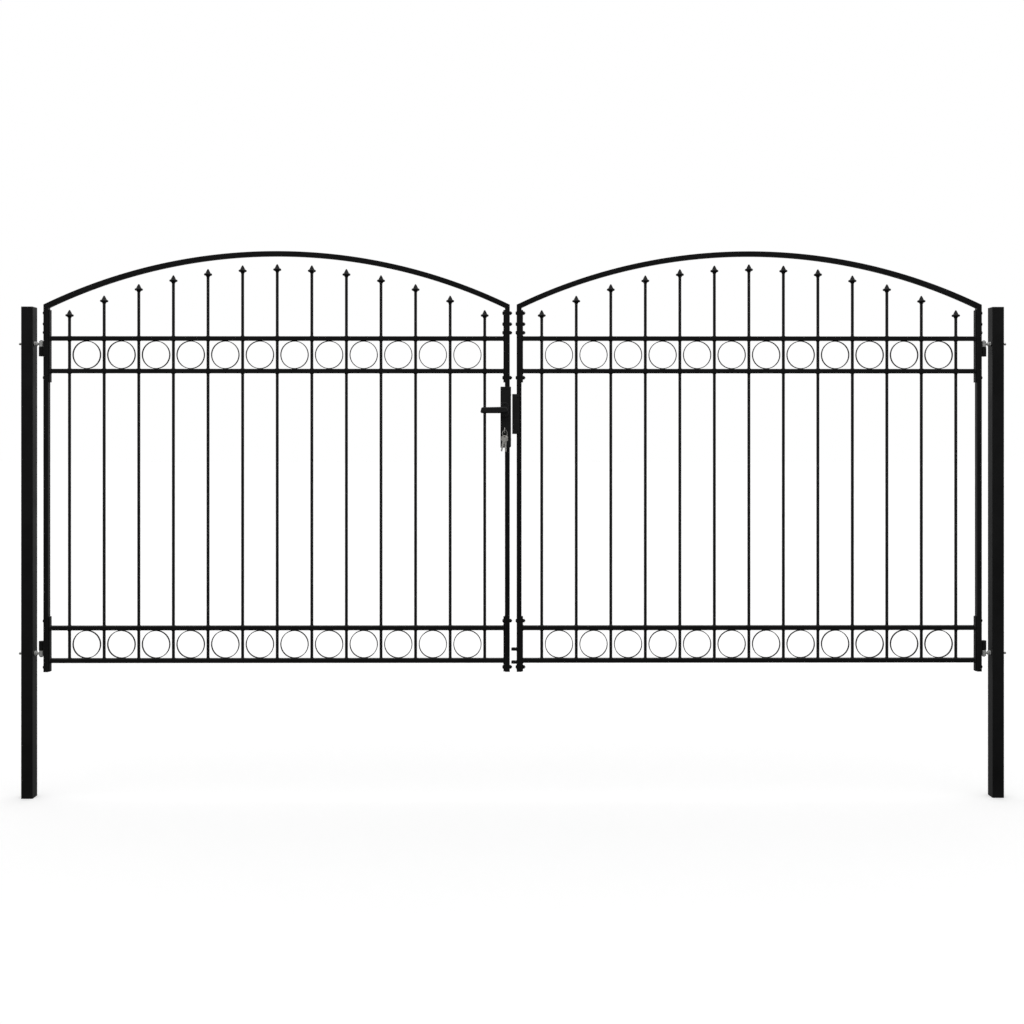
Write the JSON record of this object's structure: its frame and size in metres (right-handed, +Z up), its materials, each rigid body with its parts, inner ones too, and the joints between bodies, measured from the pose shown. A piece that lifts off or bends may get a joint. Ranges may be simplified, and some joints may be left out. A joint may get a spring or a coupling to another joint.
{
  "type": "double-leaf steel fence gate with posts",
  "caption": "Black steel double gate with arched tops, round bars, ring friezes, spear tips, a lever lock and square posts with eye-bolt hinges.",
  "frame": {"origin": "middle of the left post's foot", "axes": "+X across the gate to the right post, +Y to the back, +Z up the posts"},
  "size_m": [4.034, 0.126, 2.2279],
  "materials": {
    "black_powder_coat": "black satin powder coat",
    "black_plastic": "black moulded plastic",
    "zinc_plate": "bright zinc plate",
    "nickel_plate": "satin nickel plate"
  },
  "bodies": {
    "posts": {"left_post": "black_powder_coat", "right_post": "black_powder_coat", "left_post_cap": "black_plastic", "right_post_cap": "black_plastic", "left_eye_bolts": "zinc_plate", "right_eye_bolts": "zinc_plate", "left_hinge_nuts": "zinc_plate", "right_hinge_nuts": "zinc_plate"},
    "left_leaf": {"left_hinge_stile": "black_powder_coat", "left_arch": "black_powder_coat", "left_frieze_rails": "black_powder_coat", "left_base_rails": "black_powder_coat", "left_bars": "black_powder_coat", "left_spear_tips": "black_powder_coat", "left_frieze_rings": "black_powder_coat", "left_base_rings": "black_powder_coat", "left_upper_end_plates": "black_powder_coat", "left_lower_end_plates": "black_powder_coat", "left_hinge_barrels": "black_powder_coat", "left_lock_stile": "black_powder_coat", "lock_case": "black_powder_coat", "lock_faceplate": "zinc_plate", "lock_bolts": "zinc_plate", "lock_cylinder": "black_powder_coat", "lever_roses": "black_plastic", "key": "nickel_plate", "key_ring": "nickel_plate", "spare_keys": "nickel_plate"},
    "lever": {"front_lever": "black_plastic", "back_lever": "black_plastic", "lever_spindle": "zinc_plate"},
    "right_leaf": {"right_hinge_stile": "black_powder_coat", "right_arch": "black_powder_coat", "right_frieze_rails": "black_powder_coat", "right_base_rails": "black_powder_coat", "right_bars": "black_powder_coat", "right_spear_tips": "black_powder_coat", "right_frieze_rings": "black_powder_coat", "right_base_rings": "black_powder_coat", "right_upper_end_plates": "black_powder_coat", "right_lower_end_plates": "black_powder_coat", "right_hinge_barrels": "black_powder_coat", "right_meeting_stile": "black_powder_coat", "strike_box": "black_powder_coat", "drop_bolt_guides": "black_powder_coat"}
  },
  "joints": [
    {"name": "left_leaf_swing", "type": "hinge", "parent": "posts", "child": "left_leaf", "pos_m": [0.05, 0, 0.62], "axis": [0, 0, 1], "range_deg": [0, 90]},
    {"name": "right_leaf_swing", "type": "hinge", "parent": "posts", "child": "right_leaf", "pos_m": [3.902, 0, 0.62], "axis": [0, 0, -1], "range_deg": [0, 90]},
    {"name": "lever_turn", "type": "hinge", "parent": "left_leaf", "child": "lever", "pos_m": [1.9415, 0, 1.58], "axis": [0, -1, 0], "range_deg": [0, 45], "stiffness_Nm_per_rad": 1.2, "springref_deg": -22.92}
  ]
}
